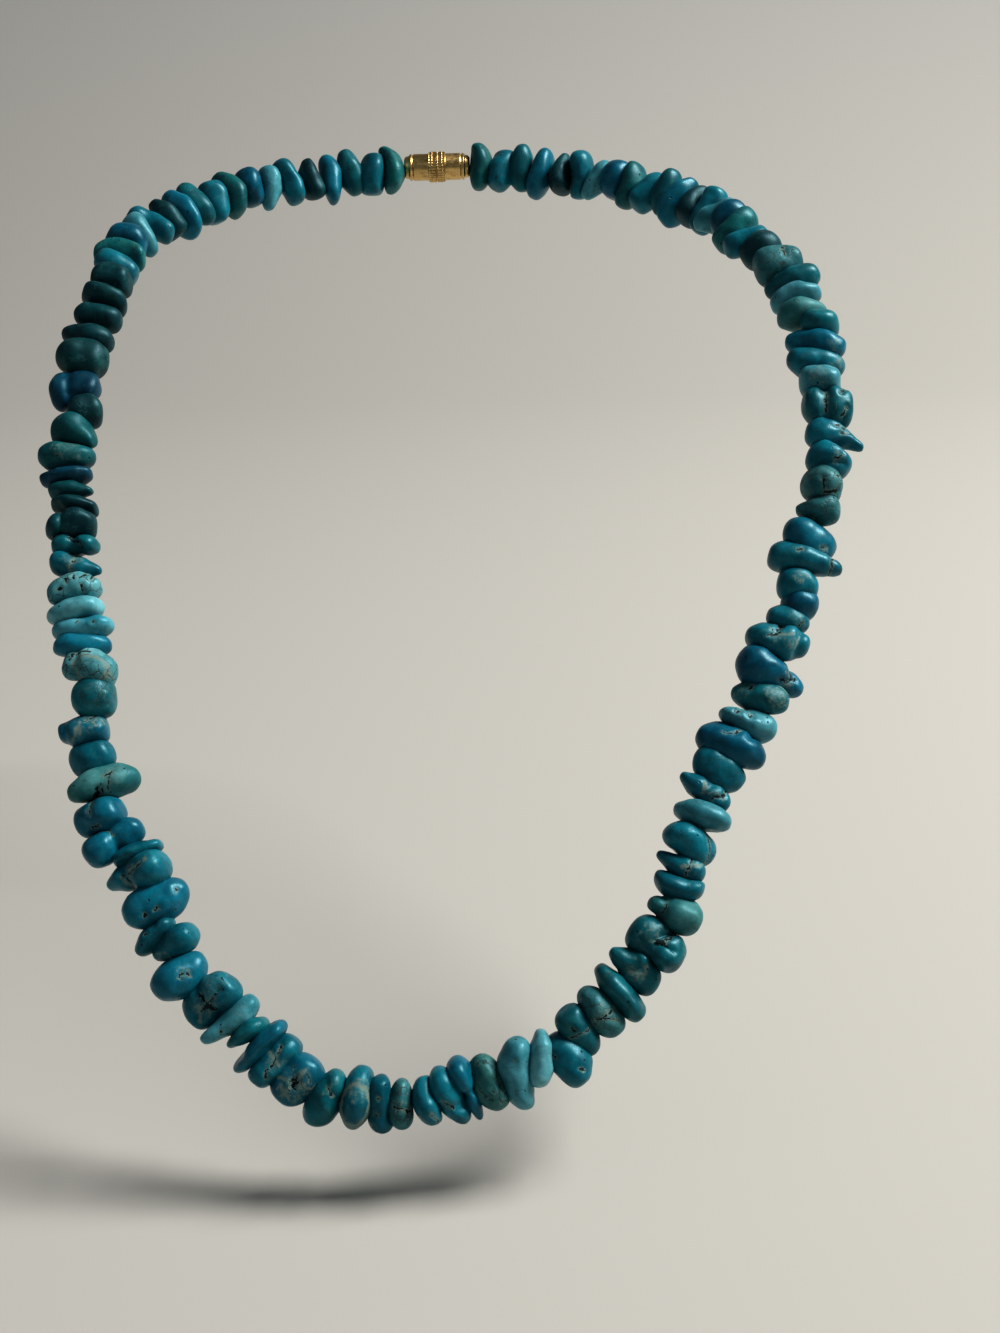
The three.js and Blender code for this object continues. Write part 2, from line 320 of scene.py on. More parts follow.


# Turquoise: one material for each kind of stone in the string; the dark and dim kinds are darker copies
# that are partly painted shade

# main and second colour, how much matrix, web, pits and green a stone has, and its roughness
stoneTraits = ("main", "second", "matrix", "web", "pits", "green", "rough")
stoneKinds = {
    # the dark and dim kinds are darker copies of the blue, teal and green stones: partly their own colour
    # and partly painted shade for the nuggets at the top ends of the string
    "deepBlue": ((0.001, 0.086, 0.142), (0.0005, 0.044, 0.076), 0.10, 0.12, 0.3, 0.1, 0.34),
    "darkBlue": ((0.0005, 0.036, 0.066), (0.0003, 0.020, 0.040), 0.10, 0.10, 0.3, 0.1, 0.44),
    "brightBlue": ((0.003, 0.118, 0.174), (0.001, 0.074, 0.116), 0.10, 0.12, 0.3, 0.1, 0.33),
    "midBlue": ((0.003, 0.126, 0.168), (0.001, 0.072, 0.102), 0.2, 0.28, 0.5, 0.2, 0.35),
    "tealBlue": ((0.003, 0.106, 0.128), (0.001, 0.060, 0.076), 0.2, 0.28, 0.5, 0.35, 0.36),
    "dimTeal": ((0.002, 0.070, 0.078), (0.001, 0.040, 0.046), 0.2, 0.25, 0.5, 0.4, 0.46),
    "darkTeal": ((0.0006, 0.036, 0.043), (0.0004, 0.018, 0.023), 0.15, 0.2, 0.4, 0.3, 0.48),
    "darkGreen": ((0.001, 0.036, 0.038), (0.0006, 0.019, 0.022), 0.2, 0.3, 0.5, 0.5, 0.50),
    "greenTeal": ((0.006, 0.118, 0.120), (0.002, 0.064, 0.072), 0.35, 0.4, 0.8, 0.5, 0.40),
    "lightBlue": ((0.070, 0.290, 0.355), (0.012, 0.160, 0.210), 0.1, 0.15, 0.3, 0.1, 0.34),
    "paleAqua": ((0.135, 0.355, 0.395), (0.065, 0.245, 0.280), 0.1, 0.1, 0.9, 0.1, 0.36),
    "paleTeal": ((0.060, 0.226, 0.268), (0.022, 0.135, 0.165), 0.2, 0.3, 0.9, 0.2, 0.37),
    "matteGreen": ((0.055, 0.190, 0.190), (0.012, 0.100, 0.108), 0.3, 0.3, 0.8, 0.4, 0.48),
    "oliveGreen": ((0.045, 0.155, 0.140), (0.010, 0.090, 0.092), 0.45, 0.5, 0.8, 0.6, 0.42),
    "paleWeb": ((0.120, 0.320, 0.345), (0.045, 0.195, 0.220), 0.5, 1.0, 1.0, 0.3, 0.42),
    "greyWeb": ((0.045, 0.160, 0.170), (0.012, 0.090, 0.102), 0.5, 1.0, 1.0, 0.3, 0.44),
}

noiseSet = {  # cells for each mm, detail, and roughness if it isn't the usual one
    "drift": (0.4, 2.0),
    "clouds": (0.20, 3.0),
    "speckle": (1.3, 5.0, 0.7),
    "green": (0.33, 4.0),
    "veins": (0.42, 3.0),
    "veinPlaces": (0.5, 2.0),
    "matrix": (0.48, 5.0, 0.62),
    "webPlaces": (0.3, 2.0),
    "pitPlaces": (0.55, 1.0),
    "pale": (1.7, 5.0, 0.65),
    "grain": (3.5, 3.0),
    "wander": (0.9, 5.0, 0.7),
    "breaks": (1.6, 2.0, 0.6),
}

stoneSet = {
    "green": (0.020, 0.105, 0.095, 1),
    "grey": (0.050, 0.150, 0.150, 1),
    "beige": (0.190, 0.225, 0.180, 1),
    "brown": (0.030, 0.026, 0.016, 1),
    "black": (0.004, 0.005, 0.005, 1),
    # a range is where a mask starts and where it is full, a share is how much of it shows
    "noiseRange": (0.3, 0.7),  # nearly all of a noise
    "driftReach": 3.2,  # mm that the pattern is pulled about
    "cloudRange": (0.36, 0.64),
    "speckleTones": (0.86, 1.12),
    "greenRange": (0.52, 0.66),
    "greenShare": 0.75,
    "veinLine": 0.022,
    "veinRange": (0.45, 0.65),
    "veinShare": 0.34,
    "matrixRange": (0.63, 0.73),
    "matrixGain": 0.06,  # how much earlier it starts on a stone full of it, as for web and pits
    "matrixShare": 0.8,
    "webCells": 0.5,  # for each mm
    "webLine": 0.05,
    "webRange": (0.60, 0.72),
    "webGain": 0.25,
    "webLeast": 0.35,
    "webShare": 0.75,
    "pitCells": 0.75,
    "pitEdge": (0.091, 0.169),  # shares of a cell
    "pitRange": (0.66, 0.70),
    "pitGain": 0.14,
    "patchFray": 0.55,
    "patchRange": (0.55, 1.05),
    "paleRange": (0.40, 0.66),
    "paleLeast": 0.45,
    "haloShare": 0.9,
    "haloPale": 0.75,
    "roughSpread": (-0.05, 0.08),
    "roughOnMatrix": 0.3,
    "webRough": 0.6,
    "ior": 1.5,
    "specular": 0.36,
    "specularTint": (0.38, 0.86, 1.0, 1),
    "bump": 0.55,
    "bumpDepth": 0.18 * mm,  # of a pit, and the next three are shares of it
    "webDepth": 0.25,
    "matrixDepth": 0.12,
    "grainHeight": 0.08,
}

crackSet = {
    # mm, and weights of the cracks
    "wander": 1.7,
    "endWander": 0.6,  # share of the wander that the ends take
    "breakRange": (0.32, 0.68),
    "halfWidth": (-0.02, 0.27),  # from where a crack breaks off to its widest, at a weight of 1
    "edge": 0.06,
    "coreWeight": (0.12, 0.4),
    "haloReach": (0.1, 0.6),
    "haloWeight": (0.05, 0.7),
}


def crackMasks(n, where, name):
    # core and halo of the cracks in an attribute: mm beyond the end and across, and weight;
    # a pale vein has its weight below zero, and so no core
    s = crackSet
    beyond, across, weight = n.split(n.attribute(name).outputs["Vector"])
    wander = n.math("MULTIPLY_ADD", n.noise(where, *noiseSet["wander"]), s["wander"], -s["wander"] / 2)
    side = n.plus(across, wander)
    end = n.larger(n.plus(beyond, n.times(wander, s["endWander"])), 0.0)
    far = n.math("SQRT", n.plus(n.times(side, side), n.times(end, end)))
    breaks = n.noise(where, *noiseSet["breaks"])
    width = n.times(weight, n.ramp(breaks, *s["breakRange"], *s["halfWidth"]))
    core = n.ramp(n.minus(far, width), 0.0, s["edge"], 1.0, 0.0)
    core = n.times(core, n.ramp(weight, *s["coreWeight"]))
    strength = n.ramp(n.math("ABSOLUTE", weight), *s["haloWeight"])
    halo = n.times(n.ramp(far, *s["haloReach"], 1.0, 0.0), strength)
    return core, halo


def bodyColor(n, kind, where, drifted):
    # cloudy colour with speckle and green drift, and faint pale veins under the polish
    s = stoneSet
    clouds = n.ramp(n.noise(drifted, *noiseSet["clouds"]), *s["cloudRange"])
    color = n.mixColor(clouds, (*kind["main"], 1), (*kind["second"], 1))
    speckle = n.ramp(n.noise(drifted, *noiseSet["speckle"]), *s["noiseRange"], *s["speckleTones"])
    color = n.scaled(color, n.times(speckle, n.attribute("shade").outputs["Fac"]))
    green = n.ramp(n.noise(drifted, *noiseSet["green"]), *s["greenRange"])
    color = n.mixColor(n.times(green, kind["green"] * s["greenShare"]), color, s["green"])
    veinFar = n.math("ABSOLUTE", n.minus(n.noise(drifted, *noiseSet["veins"]), 0.5))
    veinHere = n.ramp(n.noise(where, *noiseSet["veinPlaces"]), *s["veinRange"])
    vein = n.times(n.ramp(veinFar, 0.0, s["veinLine"], 1.0, 0.0), veinHere)
    return n.mixColor(n.times(vein, s["veinShare"]), color, s["grey"])


def webAndPits(n, kind, where, drifted):
    # thin brown lines round cells, and small round holes
    s = stoneSet
    start, full = (edge - s["webGain"] * kind["web"] for edge in s["webRange"])
    webHere = n.ramp(n.noise(where, *noiseSet["webPlaces"]), start, full)
    webFar = n.cells(drifted, s["webCells"], "DISTANCE_TO_EDGE")
    web = n.times(n.ramp(webFar, 0.0, s["webLine"], 1.0, 0.0), webHere)
    web = n.times(web, min(1.0, s["webLeast"] + kind["web"]))
    start, full = (edge - s["pitGain"] * kind["pits"] for edge in s["pitRange"])
    pitHere = n.ramp(n.noise(where, *noiseSet["pitPlaces"]), start, full)
    pitFar = n.cells(where, s["pitCells"])
    return web, n.times(n.ramp(pitFar, *s["pitEdge"], 1.0, 0.0), pitHere)


def matrixMasks(n, kind, where, drifted):
    # cover of the pale matrix, from the stone and from this nugget's marks, how pale it is,
    # and the black cores of the cracks
    s = stoneSet
    noise = n.noise(drifted, *noiseSet["matrix"])
    start, full = s["matrixRange"]
    spread = n.times(n.ramp(noise, start - s["matrixGain"] * kind["matrix"], full), kind["matrix"])
    patchFar, _, patchWeight = n.split(n.attribute("patch").outputs["Vector"])
    frayed = n.plus(patchFar, n.ramp(noise, *s["noiseRange"], -s["patchFray"], s["patchFray"]))
    patch = n.times(n.ramp(frayed, *s["patchRange"], 1.0, 0.0), patchWeight)
    coreA, haloA = crackMasks(n, where, "crackA")
    coreB, haloB = crackMasks(n, where, "crackB")
    halo = n.larger(haloA, haloB)
    cover = n.times(n.larger(spread, patch), s["matrixShare"])
    cover = n.larger(cover, n.times(halo, s["haloShare"]))
    pale = n.ramp(n.noise(where, *noiseSet["pale"]), *s["paleRange"])
    pale = n.larger(pale, n.times(halo, s["haloPale"]))
    cover = n.times(cover, n.ramp(pale, 0.0, 1.0, s["paleLeast"], 1.0))
    return cover, pale, n.larger(coreA, coreB)


def polish(n, kind, where, cover, web, dark):
    # duller on the matrix, with cracks, pits and web sunk into it
    s = stoneSet
    grain = n.noise(where, *noiseSet["grain"])
    low, high = s["roughSpread"]
    rough = n.ramp(grain, *s["noiseRange"], kind["rough"] + low, kind["rough"] + high)
    dull = n.larger(n.larger(cover, dark), n.times(web, s["webRough"]))
    n.set("Roughness", n.math("MULTIPLY_ADD", dull, s["roughOnMatrix"], rough))
    n.set("IOR", s["ior"])
    n.set("Specular IOR Level", s["specular"])
    n.set("Specular Tint", s["specularTint"])
    sunk = n.plus(n.plus(dark, n.times(web, s["webDepth"])), n.times(cover, s["matrixDepth"]))
    n.bump(n.minus(n.times(grain, s["grainHeight"]), sunk), s["bump"], s["bumpDepth"])


def stoneMaterial(name):
    s = stoneSet
    kind = dict(zip(stoneTraits, stoneKinds[name]))
    material = newMaterial("turquoise" + name[0].upper() + name[1:])
    n = Nodes(material)
    where = n.objectCoordsInMm()
    drift = n.vector("SUBTRACT", n.noise(where, *noiseSet["drift"], output="Color"), (0.5, 0.5, 0.5))
    drifted = n.vector("ADD", where, n.scaled(drift, s["driftReach"]))
    web, pits = webAndPits(n, kind, where, drifted)
    cover, pale, core = matrixMasks(n, kind, where, drifted)
    dark = n.larger(core, pits)
    color = bodyColor(n, kind, where, drifted)
    color = n.mixColor(cover, color, n.mixColor(pale, s["grey"], s["beige"]))
    color = n.mixColor(n.times(web, s["webShare"]), color, s["brown"])
    n.set("Base Color", n.mixColor(dark, color, s["black"]))
    polish(n, kind, where, cover, web, dark)
    return material


stoneMaterials = {name: stoneMaterial(name) for name in stoneKinds}
print("stones made:", len(stoneMaterials))


# Nugget forms, each drawn once as rings from the inner to the outer end

nuggetForms = {
    # place along the half span, width and depth as shares of the half sizes, carried share
    "oval": [(-1.02, 0.3, 0.34, 0), (-0.84, 0.7, 0.74, 0), (-0.4, 1.04, 1.04, 0.02),
             (0.34, 1.08, 1.06, -0.02), (0.84, 0.72, 0.74, 0), (1.03, 0.3, 0.34, 0)],
    "round": [(-1.02, 0.36, 0.38, 0.04), (-0.84, 0.8, 0.82, 0.02), (-0.36, 1.1, 1.1, 0),
              (0.36, 1.1, 1.1, 0), (0.84, 0.8, 0.82, -0.02), (1.02, 0.36, 0.38, -0.04)],
    "block": [(-1.01, 0.44, 0.44, 0.08), (-0.88, 0.84, 0.84, 0.06), (-0.44, 1.08, 1.08, 0.02),
              (0.4, 1.06, 1.06, -0.03), (0.88, 0.84, 0.82, -0.08), (1.01, 0.44, 0.44, -0.08)],
    "drop": [(-0.99, 0.24, 0.3, 0.14), (-0.82, 0.46, 0.54, 0.12), (-0.3, 0.82, 0.9, 0.02),
             (0.25, 1.04, 1.06, -0.02), (0.74, 0.98, 1.0, 0), (0.99, 0.5, 0.56, 0)],
    "taper": [(-0.98, 0.5, 0.56, 0), (-0.74, 0.98, 1.0, 0), (-0.25, 1.04, 1.06, 0.02),
              (0.3, 0.82, 0.9, -0.02), (0.82, 0.46, 0.54, -0.12), (1.0, 0.24, 0.3, -0.16)],
    "bend": [(-0.98, 0.42, 0.46, 0.34), (-0.76, 0.78, 0.82, 0.26), (-0.3, 1.0, 1.04, -0.06),
             (0.3, 1.0, 1.04, -0.1), (0.78, 0.78, 0.82, 0.26), (0.99, 0.42, 0.46, 0.38)],
    "waist": [(-0.98, 0.48, 0.52, 0.02), (-0.7, 0.9, 0.94, 0), (-0.14, 0.88, 0.92, -0.08),
              (0.18, 0.92, 0.95, -0.06), (0.66, 1.06, 1.06, 0.04), (0.98, 0.52, 0.56, 0.04)],
    "blade": [(-0.99, 0.42, 0.44, 0.1), (-0.8, 0.74, 0.78, 0.06), (-0.3, 1.04, 1.05, 0),
              (0.3, 1.04, 1.05, 0), (0.8, 0.74, 0.78, -0.06), (0.99, 0.42, 0.44, -0.1)],
    "fang": [(-0.98, 0.52, 0.54, 0), (-0.7, 0.98, 0.98, 0), (-0.2, 1.0, 1.04, 0.04),
             (0.26, 0.84, 0.9, 0.04), (0.78, 0.42, 0.48, -0.2), (1.0, 0.22, 0.26, -0.3)],
    "hook": [(-1.0, 0.22, 0.26, 0.3), (-0.78, 0.42, 0.48, 0.2), (-0.26, 0.84, 0.9, 0.04),
             (0.2, 1.0, 1.04, 0.04), (0.7, 0.98, 0.98, 0), (0.98, 0.52, 0.54, 0)],
}

nuggetSet = {
    "cageSides": 8,
    "smoothing": 3,
    "smoothingBehind": 2,
    "sizeShare": (1.12, 1.04, 1.08),  # makes up for how far the smoothed cage draws in
    "taperSpread": 0.13,
    "bowSpread": 0.16,
    "bowMiddle": 0.4,  # how far the middle goes against the tips
    "flatSpread": 0.10,
    "dimpleSpread": 0.07,
    "lumpSize": 4.8 * mm,
    "lumpHeight": 1.25 * mm,
    "tipShare": 0.35,  # how much of the lumps is left at the tips
    "rippleSize": 2.1 * mm,
    "rippleHeight": 0.12 * mm,
    "frontShare": 0.75,  # weight of the marks half way to the back
    "frontFall": 1.6,
    "crackDent": 0.32 * mm,
    "deepestDent": 3,  # times crackDent
    "crackReach": 0.55 * mm,
    "creaseReach": 0.85 * mm,
    "crackFade": 1.7 * mm,
    "ringShare": 0.62,  # width of a ring over its height
    "lobeHeight": 0.1,  # greatest, over the span
    "leastWeight": 0.02,
    "shadeSpread": 0.12,
    "shadeSeed": 11,
    "shapeSeed": 5,
}


def makeNuggetForm(name):
    rings = nuggetForms[name]
    place, width, depth, carry = rings[0]
    deselectAll()
    bpy.ops.mesh.primitive_circle_add(vertices=nuggetSet["cageSides"], radius=0.5, fill_type="NGON",
                                      location=(0, 0, 0), rotation=(math.pi / 2, 0, 0))
    form = bpy.context.object
    form.name = "form" + name.capitalize()
    bpy.ops.object.transform_apply(location=True, rotation=True)
    bpy.ops.object.mode_set(mode="EDIT")
    bpy.ops.mesh.select_all(action="SELECT")
    bpy.ops.transform.resize(value=(width, 1, depth), center_override=(0, 0, 0))
    bpy.ops.transform.translate(value=(carry / 2, place / 2, 0))
    for last, ring in zip(rings, rings[1:]):
        shift = ((ring[3] - last[3]) / 2, (ring[0] - last[0]) / 2, 0)
        bpy.ops.mesh.extrude_region_move(TRANSFORM_OT_translate={"value": shift})
        centre = (ring[3] / 2, ring[0] / 2, 0)
        bpy.ops.transform.resize(value=(ring[1] / last[1], 1, ring[2] / last[2]), center_override=centre)
    bpy.ops.mesh.select_all(action="SELECT")
    bpy.ops.mesh.normals_make_consistent(inside=False)
    bpy.ops.object.mode_set(mode="OBJECT")
    return form


formObjects = {name: makeNuggetForm(name) for name in nuggetForms}
print("nugget forms drawn:", len(formObjects))


# The string: form, place in pitches from the meeting, out, span, thickness, lean, stone and any marks.
# A mark's first two numbers say where it is: out over the half span and along over the half thickness.
# crack: turn from across the string, half length as a share of the span, weight.
# ring: radius share, weight. vein and band: as crack and ring, but pale and not sunk.
# patch: size share, strength. lobe: size share, height share. crease: as crack, no colour.

beadChart = [
    # the first thirteen nuggets, at the top of the left side, take the dark and dim stones: partly their
    # own colour, partly painted shade
    ("block", -41.5, -0.1, 0.75, 1.2, 5, "darkTeal"),
    ("blade", -40.3, -0.1, 0.9, 0.8, -10, "darkTeal"),
    ("oval", -39.3, -0.1, 0.9, 0.95, 0, "darkTeal"),
    ("oval", -38.15, 0, 1, 1, -12, "darkTeal"),
    ("oval", -37, 0, 0.95, 1.4, 6, "darkGreen", ("lobe", 0.6, -0.4, 0.16, 0.06)),
    ("waist", -35.5, 0.05, 0.95, 1.4, 8, "darkBlue", ("crease", 0.15, 0, 90, 0.2, 1.2)),
    ("round", -34.4, -0.18, 0.65, 1.05, 5, "darkTeal"),
    ("hook", -33.5, -0.06, 0.9, 1.35, -20, "dimTeal", ("patch", 0.45, -0.2, 0.08, 0.5)),
    ("oval", -32.3, 0.1, 1, 0.95, 0, "dimTeal", ("patch", -0.1, 0.1, 0.3, 0.4)),
    ("blade", -31.4, 0.1, 0.95, 0.65, 5, "darkBlue"),
    ("hook", -30.8, 0, 0.85, 0.85, -4, "dimTeal"),
    ("blade", -30.1, -0.05, 0.85, 0.65, -10, "darkTeal"),
    ("waist", -29.25, 0.02, 0.9, 1, -3, "darkTeal",
     ("lobe", 0.75, 0.5, 0.14, 0.1), ("lobe", -0.2, -0.2, 0.24, 0.1), ("crease", 0.45, 0, 80, 0.2, 1.4)),
    ("waist", -28.4, -0.05, 0.85, 0.85, -12, "tealBlue",
     ("crack", -0.12, -0.1, 125, 0.16, 1.9), ("crease", -0.08, -0.2, 110, 0.16, 2.2)),
    ("hook", -27.6, -0.03, 0.95, 0.95, -15, "midBlue",
     ("vein", 0.02, 0, 85, 0.2, 1), ("patch", 0.05, -0.2, 0.2, 0.7), ("patch", 0.05, 0.4, 0.16, 0.7),
     ("crack", -0.1, 0, 80, 0.04, 0.5)),
    ("oval", -26.6, 0.05, 0.95, 1, 5, "paleWeb",
     ("crack", -0.35, -0.5, 30, 0.05, 1), ("crack", 0.3, -0.35, 100, 0.05, 0.9),
     ("crack", -0.25, 0.45, 90, 0.06, 1), ("crack", 0.62, 0.2, 20, 0.03, 0.9),
     ("crack", -0.7, -0.3, 60, 0.06, 1), ("crack", -0.02, -0.5, 80, 0.03, 0.9)),
    ("oval", -25.7, 0.08, 1, 0.95, 3, "paleAqua"),
    ("oval", -25, -0.03, 1.05, 0.85, -2, "lightBlue",
     ("crack", -0.57, 0.1, 0, 0, 0.9), ("crack", 0, -0.2, 60, 0.04, 0.5)),
    ("oval", -24.3, 0.02, 1, 0.9, -4, "brightBlue"),
    ("waist", -23.4, -0.1, 1, 1.35, -30, "paleWeb",
     ("crack", 0.62, -0.2, 90, 0.1, 1.1), ("crack", 0.3, -0.5, 30, 0.12, 0.8),
     ("ring", -0.2, 0.1, 0.17, 0.26), ("band", -0.2, 0.1, 0.32, 0.7), ("lobe", -0.2, 0.1, 0.22, 0.13),
     ("crease", 0.4, 0, 110, 0.2, 1.2)),
    ("round", -22.2, -0.1, 0.78, 1.35, -5, "tealBlue",
     ("crack", -0.5, -0.2, 60, 0.2, 0.26), ("crack", -0.7, 0.2, 120, 0.14, 0.24),
     ("ring", -0.3, 0, 0.3, 0.2)),
    ("block", -21, 0.14, 0.85, 1.05, 4, "brightBlue",
     ("crack", -0.45, -0.6, 20, 0.1, 0.8), ("patch", -0.6, -0.5, 0.22, 0.9),
     ("patch", 0.1, 0, 0.16, 0.4), ("vein", 0.2, 0.2, 60, 0.12, 0.7), ("vein", 0, -0.1, 80, 0.1, 0.6),
     ("crease", 0.7, 0, 90, 0.2, 1)),
    ("round", -19.95, 0.07, 0.78, 1.2, 10, "midBlue"),
    ("oval", -18.85, -0.03, 1.25, 1.1, 0, "matteGreen",
     ("crack", 0.25, 0.7, 60, 0.04, 2.3), ("crack", -0.15, -0.2, 20, 0.07, 0.7),
     ("crack", -0.1, 0.35, 70, 0.1, 0.4), ("patch", -0.3, -0.1, 0.2, 0.35)),
    ("block", -17.7, 0.2, 0.85, 1.15, 0, "brightBlue",
     ("crack", -0.12, -0.35, 85, 0.14, 0.7), ("crack", 0, 0.7, 10, 0.08, 0.5),
     ("patch", -0.12, -0.3, 0.12, 0.7)),
    ("waist", -16.6, 0.14, 1.15, 1.1, 10, "brightBlue",
     ("crease", -0.02, 0, 90, 0.2, 1.6), ("crack", -0.05, -0.5, 90, 0.08, 0.6)),
    ("blade", -15.85, -0.18, 0.9, 0.65, 0, "midBlue"),
    ("taper", -15.1, -0.05, 1.2, 1.25, 0, "midBlue",
     ("crack", -0.25, -0.15, 15, 0.2, 0.8), ("crack", 0.2, 0.1, 110, 0.14, 0.9),
     ("patch", -0.1, -0.1, 0.16, 0.7), ("crease", 0.2, 0, 100, 0.2, 1.4),
     ("vein", -0.35, -0.25, 10, 0.2, 0.8), ("vein", 0.25, 0.2, 100, 0.14, 0.8)),
    ("oval", -13.8, -0.15, 1.15, 1.4, 2, "brightBlue",
     ("crack", 0.1, 0.35, 10, 0.03, 1), ("crack", 0.5, 0.4, 0, 0.01, 0.9),
     ("crack", -0.65, -0.1, 90, 0.02, 0.7)),
    ("blade", -12.75, 0.1, 0.85, 0.75, 20, "midBlue", ("crack", 0, -0.5, 0, 0, 0.9)),
    ("taper", -12.1, -0.15, 0.88, 1.05, 5, "midBlue", ("patch", 0.5, 0.3, 0.14, 0.7)),
    ("oval", -11, 0.1, 1, 1.3, -2, "brightBlue",
     ("crack", 0.0, 0.1, 30, 0.04, 1.2), ("crack", -0.25, 0.3, 100, 0.03, 0.9),
     ("patch", -0.05, 0.1, 0.14, 0.7)),
    ("block", -9.6, -0.05, 1.05, 1.4, 2, "midBlue",
     ("crack", -0.1, 0.1, 5, 0.22, 1.9), ("crack", -0.05, 0, 85, 0.24, 1.9),
     ("patch", -0.05, 0, 0.24, 0.7), ("crease", -0.05, 0, 85, 0.3, 2),
     ("crease", -0.1, 0.1, 5, 0.3, 1.9), ("patch", -0.6, -0.4, 0.3, 0.4),
     ("vein", 0.4, 0.1, 40, 0.16, 0.8)),
    ("taper", -8.5, -0.03, 1.17, 0.9, -7, "paleTeal",
     ("crack", 0.45, 0.2, 0, 0.01, 0.7), ("patch", -0.3, 0, 0.14, 0.35)),
    ("blade", -7.8, -0.07, 0.8, 0.65, -14, "tealBlue"),
    ("blade", -7.1, -0.04, 1.2, 0.7, -6, "brightBlue"),
    ("block", -6.35, 0, 1, 0.95, -5, "midBlue",
     ("crack", -0.2, -0.1, 20, 0.2, 0.8), ("vein", -0.1, -0.1, 80, 0.16, 0.9),
     ("crack", 0.5, 0.2, 40, 0.06, 0.8), ("patch", -0.1, 0, 0.18, 0.7)),
    ("round", -5.3, 0.05, 0.92, 1.35, -18, "brightBlue",
     ("crack", 0.05, 0, 35, 0.06, 2.6), ("vein", 0.05, 0, 120, 0.3, 1), ("patch", 0.05, 0.1, 0.3, 1),
     ("crack", -0.5, 0.3, 70, 0.1, 0.4), ("vein", 0.05, 0, 5, 0.3, 1), ("vein", 0.55, 0.05, 75, 0.14, 1)),
    ("oval", -4.1, 0.1, 1, 1.1, -8, "tealBlue",
     ("crack", -0.5, 0.1, 60, 0.1, 1), ("patch", -0.6, -0.1, 0.14, 0.6),
     ("crease", -0.45, 0.2, 60, 0.2, 1)),
    ("oval", -3, -0.06, 1.05, 0.95, 0, "midBlue",
     ("band", 0.3, 0, 0.34, 0.9), ("lobe", 0.25, 0, 0.24, 0.1), ("patch", -0.2, 0.2, 0.18, 0.7)),
    ("waist", -2.1, 0, 1, 0.85, 4, "midBlue",
     ("crack", -0.45, -0.1, 0, 0.01, 0.7), ("crack", 0.15, -0.2, 0, 0.01, 1)),
    ("oval", -1.35, 0, 0.82, 0.85, -2, "greyWeb",
     ("crack", 0.1, 0.3, 70, 0.2, 0.7), ("patch", 0, 0.3, 0.2, 0.7)),
    ("bend", -0.5, 0, 0.85, 0.85, 10, "midBlue",
     ("lobe", 0.35, -0.1, 0.2, 0.06), ("crack", 0.75, 0.4, 30, 0.08, 0.6)),
    ("oval", 0.45, 0, 1.05, 0.95, 15, "midBlue",
     ("crack", -0.05, -0.2, 30, 0.12, 0.8), ("patch", -0.1, -0.2, 0.16, 0.7),
     ("crease", 0.1, 0, 60, 0.2, 1)),
    ("fang", 1.15, -0.05, 1.15, 0.75, 8, "brightBlue", ("crease", 0.1, 0, 90, 0.16, 1.5)),
    ("oval", 1.95, 0, 0.95, 1.05, 6, "oliveGreen",
     ("ring", -0.05, 0, 0.34, 0.3), ("crack", 0.62, 0.1, 10, 0.16, 0.4), ("patch", 0.75, 0, 0.2, 0.5)),
    ("bend", 2.95, 0.03, 1.25, 1.1, -16, "paleTeal", ("crack", -0.55, 0, 0, 0, 0.6)),
    ("drop", 4, 0, 0.95, 0.85, -30, "paleAqua"),
    ("round", 4.85, 0.28, 0.95, 1.25, 5, "midBlue",
     ("crack", 0.62, 0.2, 30, 0.04, 0.9), ("crack", -0.45, -0.6, 30, 0.08, 0.5)),
    ("block", 5.75, 0, 0.9, 1.05, 0, "tealBlue",
     ("crack", -0.15, 0, 80, 0.2, 0.5), ("crack", -0.5, -0.35, 0, 0.02, 1.2)),
    ("oval", 6.8, 0, 0.97, 1.05, -2, "greyWeb",
     ("crack", 0.2, 0, 80, 0.16, 0.8), ("crack", 0.45, 0.15, 40, 0.14, 0.7),
     ("patch", 0.3, 0, 0.22, 0.7)),
    ("blade", 7.8, 0, 1.15, 0.85, -6, "tealBlue"),
    ("hook", 8.75, -0.05, 1.05, 1.2, 4, "tealBlue",
     ("patch", -0.1, -0.1, 0.2, 0.7), ("lobe", -0.1, 0.8, 0.14, 0.12),
     ("crease", -0.25, 0, 60, 0.14, 1.8), ("vein", -0.1, -0.1, 30, 0.14, 0.7),
     ("vein", 0.2, 0.2, 100, 0.1, 0.7)),
    ("block", 10.05, 0.08, 1, 1.3, -9, "tealBlue",
     ("crack", 0.15, 0.05, 20, 0.1, 2.2), ("crack", 0.3, 0.3, 80, 0.12, 1.4),
     ("patch", -0.2, 0.1, 0.2, 0.6), ("crease", 0.1, 0.5, 60, 0.2, 2.1),
     ("crease", 0.3, -0.1, 10, 0.16, 1.8), ("lobe", -0.45, -0.1, 0.24, 0.1),
     ("lobe", 0.6, -0.3, 0.18, 0.14)),
    ("drop", 11.3, 0.16, 0.96, 1.3, 0, "matteGreen",
     ("crease", -0.6, 0, 90, 0.2, 1.4), ("crack", -0.6, 0, 90, 0.16, 0.4)),
    ("bend", 12.2, 0.1, 0.9, 0.85, -4, "midBlue"),
    ("hook", 13, 0.04, 0.9, 0.85, -4, "midBlue",
     ("crack", 0.3, 0, 90, 0.2, 0.7), ("vein", 0.35, 0.2, 30, 0.16, 0.8)),
    ("oval", 14, 0.05, 0.95, 1.15, -5, "midBlue", ("crack", 0.5, 0.1, 120, 0.22, 0.5)),
    ("oval", 15.1, 0.06, 1, 0.9, 9, "paleTeal"),
    ("hook", 15.95, -0.1, 1, 1, -2, "midBlue",
